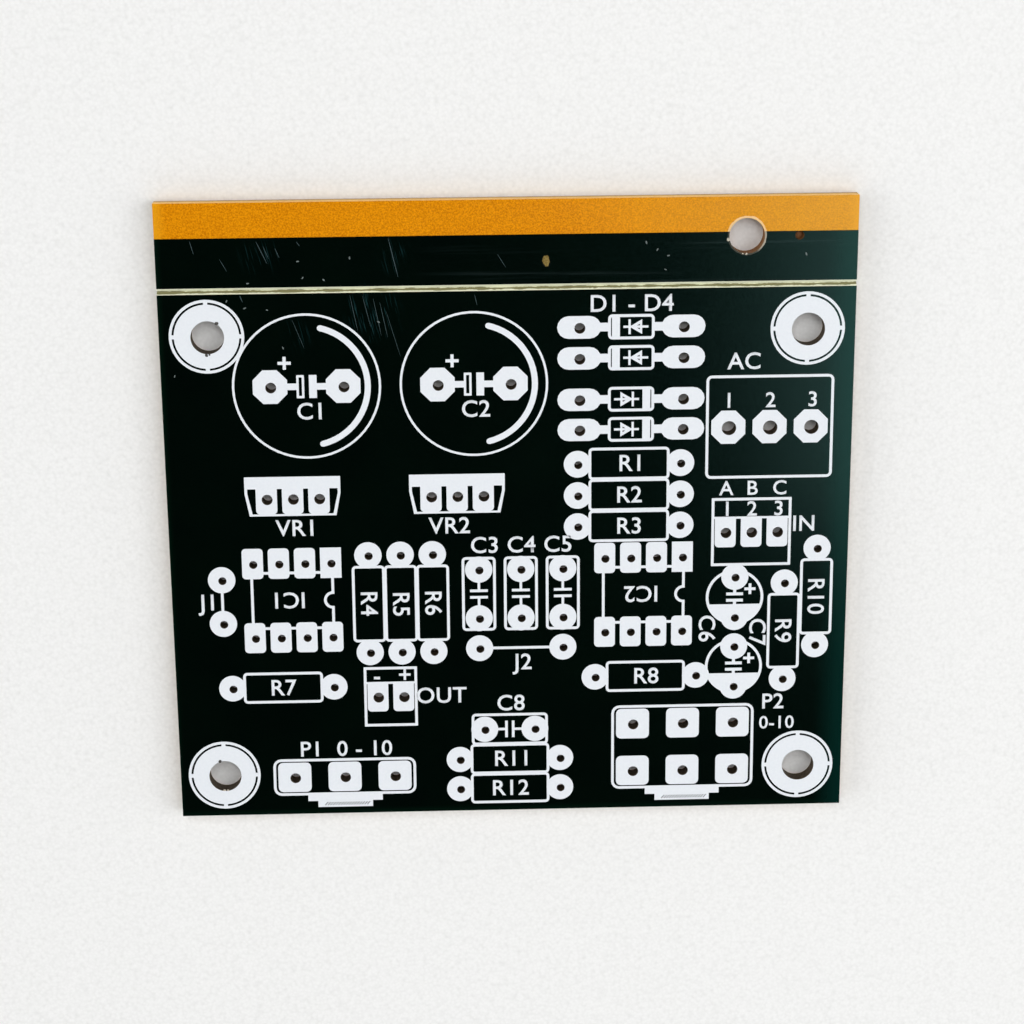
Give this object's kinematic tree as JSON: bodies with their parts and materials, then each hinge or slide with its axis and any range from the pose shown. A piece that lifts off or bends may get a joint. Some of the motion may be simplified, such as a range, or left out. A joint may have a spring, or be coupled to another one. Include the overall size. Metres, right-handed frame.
{
  "type": "filter circuit board",
  "caption": "Bare printed circuit board for an audio filter: black mask, white component legend, drilled lands, corner mounting holes and a scored break-off rail.",
  "frame": {"origin": "middle of the board's outline, on the lowest face of the solder side", "axes": "+X along the rail, to the right of the print; +Y across the board, towards the rail; +Z out of the printed side"},
  "size_m": [0.0666, 0.0618, 0.0017],
  "materials": {
    "laminate": "fine fibrous amber resin",
    "mask": "satin lacquer",
    "ink": "matt print",
    "copper": "bare copper, a little dull"
  },
  "bodies": {
    "root": {"laminate": "laminate", "top_mask": "mask", "legend": "ink", "copper_foil": "copper", "bottom_mask": "mask"}
  },
  "joints": []
}
